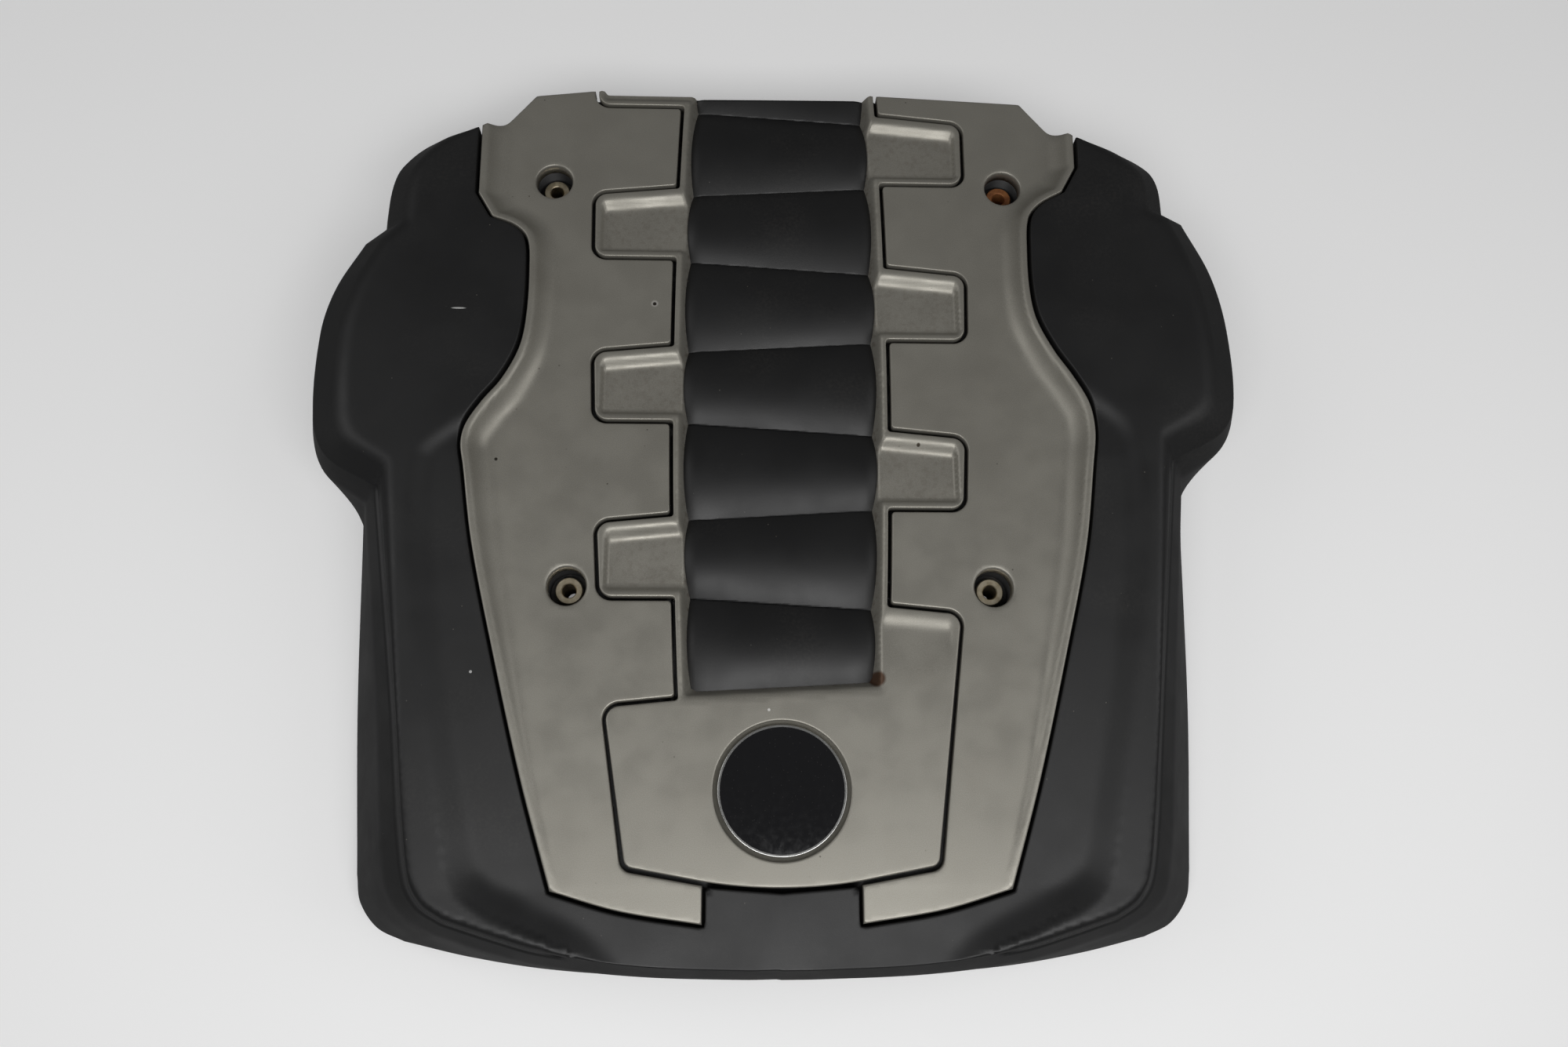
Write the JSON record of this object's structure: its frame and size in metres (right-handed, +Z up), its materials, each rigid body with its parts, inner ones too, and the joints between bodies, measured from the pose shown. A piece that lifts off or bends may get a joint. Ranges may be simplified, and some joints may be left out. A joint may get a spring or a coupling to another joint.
{
  "type": "engine cover",
  "caption": "Moulded plastic engine cover with silver trims round a ribbed centre panel, a badge plate and rubber-mounted screw sleeves.",
  "frame": {"origin": "centre of the cover's box on the plane of the lower rim", "axes": "+Z up off the engine, +Y towards the rear of the engine, +X to the right seen from the front"},
  "size_m": [0.5209, 0.4961, 0.092],
  "materials": {
    "black_plastic": "satin, fine grain",
    "silver_paint": "satin metallic paint on plastic",
    "chrome_ring": "polished",
    "badge_black": "glossy, plain",
    "sleeve_metal": "yellow zinc plated, worn",
    "mount_rubber": "matt",
    "spring_steel": "oiled"
  },
  "bodies": {
    "root": {"base_cover": "black_plastic", "centre_trim": "silver_paint", "left_trim": "silver_paint", "right_trim": "silver_paint", "badge_bezel": "chrome_ring", "badge_face": "badge_black", "centre_trim_clips": "spring_steel", "left_trim_clips": "spring_steel", "right_trim_clips": "spring_steel", "sleeve_rear_left": "sleeve_metal", "grommet_rear_left": "mount_rubber", "sleeve_rear_right": "sleeve_metal", "grommet_rear_right": "mount_rubber", "sleeve_front_left": "sleeve_metal", "grommet_front_left": "mount_rubber", "sleeve_front_right": "sleeve_metal", "grommet_front_right": "mount_rubber"}
  },
  "joints": []
}
